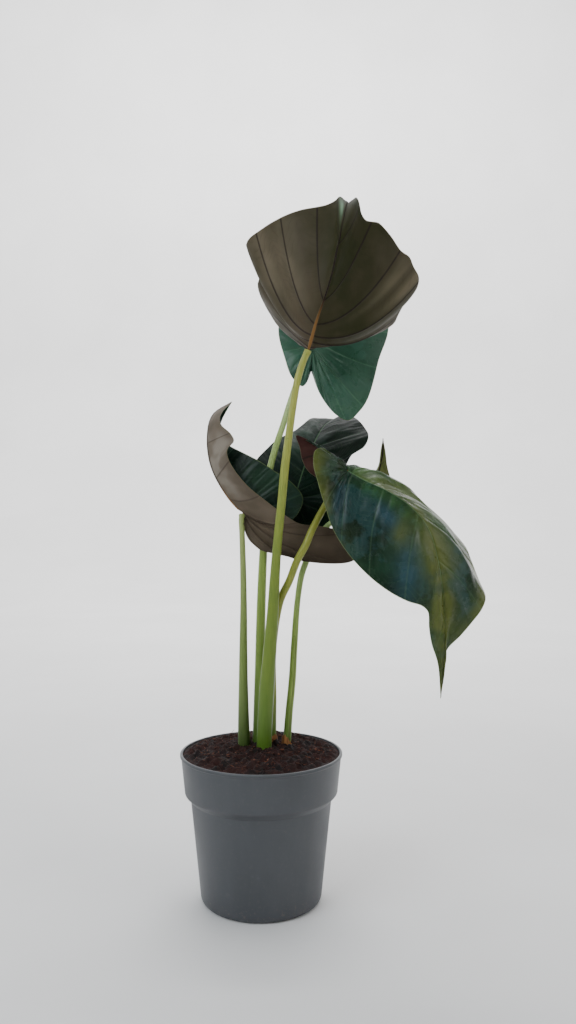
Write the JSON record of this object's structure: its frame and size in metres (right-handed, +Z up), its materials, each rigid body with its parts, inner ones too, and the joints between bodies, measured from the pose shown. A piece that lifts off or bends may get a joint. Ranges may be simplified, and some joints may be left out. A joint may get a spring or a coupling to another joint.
{
  "type": "potted aroid house plant",
  "caption": "Upright house plant with long stalks and large dark green shield-shaped leaves with waved edges, rooted in soil in a grey stepped nursery pot.",
  "frame": {"origin": "centre of the pot's flat base, on the surface that it stands on", "axes": "+Z up along the plant, +X to the viewer's right and +Y away from the viewer as in the reference view"},
  "size_m": [0.4409, 0.4178, 1.0032],
  "materials": {
    "pot": "satin anthracite grey moulded plastic",
    "soil": "rough dark brown potting mix with bark and fibres",
    "corm": "brown fibrous rootstock, hidden in the soil",
    "stalk": "smooth waxy leaf stalk, yellow green with darker streaks",
    "blade": "glossy dark green leaf, dull brown purple underneath, with paler ribs",
    "husk": "dry papery orange brown husk"
  },
  "bodies": {
    "root": {"pot": "pot", "soil": "soil", "corm": "corm", "stalk_a": "stalk", "stalk_b": "stalk", "stalk_c": "stalk", "stalk_d": "stalk", "stalk_e": "stalk", "stalk_g": "stalk", "blade_a": "blade", "blade_b": "blade", "blade_c": "blade", "blade_d": "blade", "blade_e": "blade", "blade_g": "blade", "husk_d": "husk", "husk_g": "husk"}
  },
  "joints": []
}
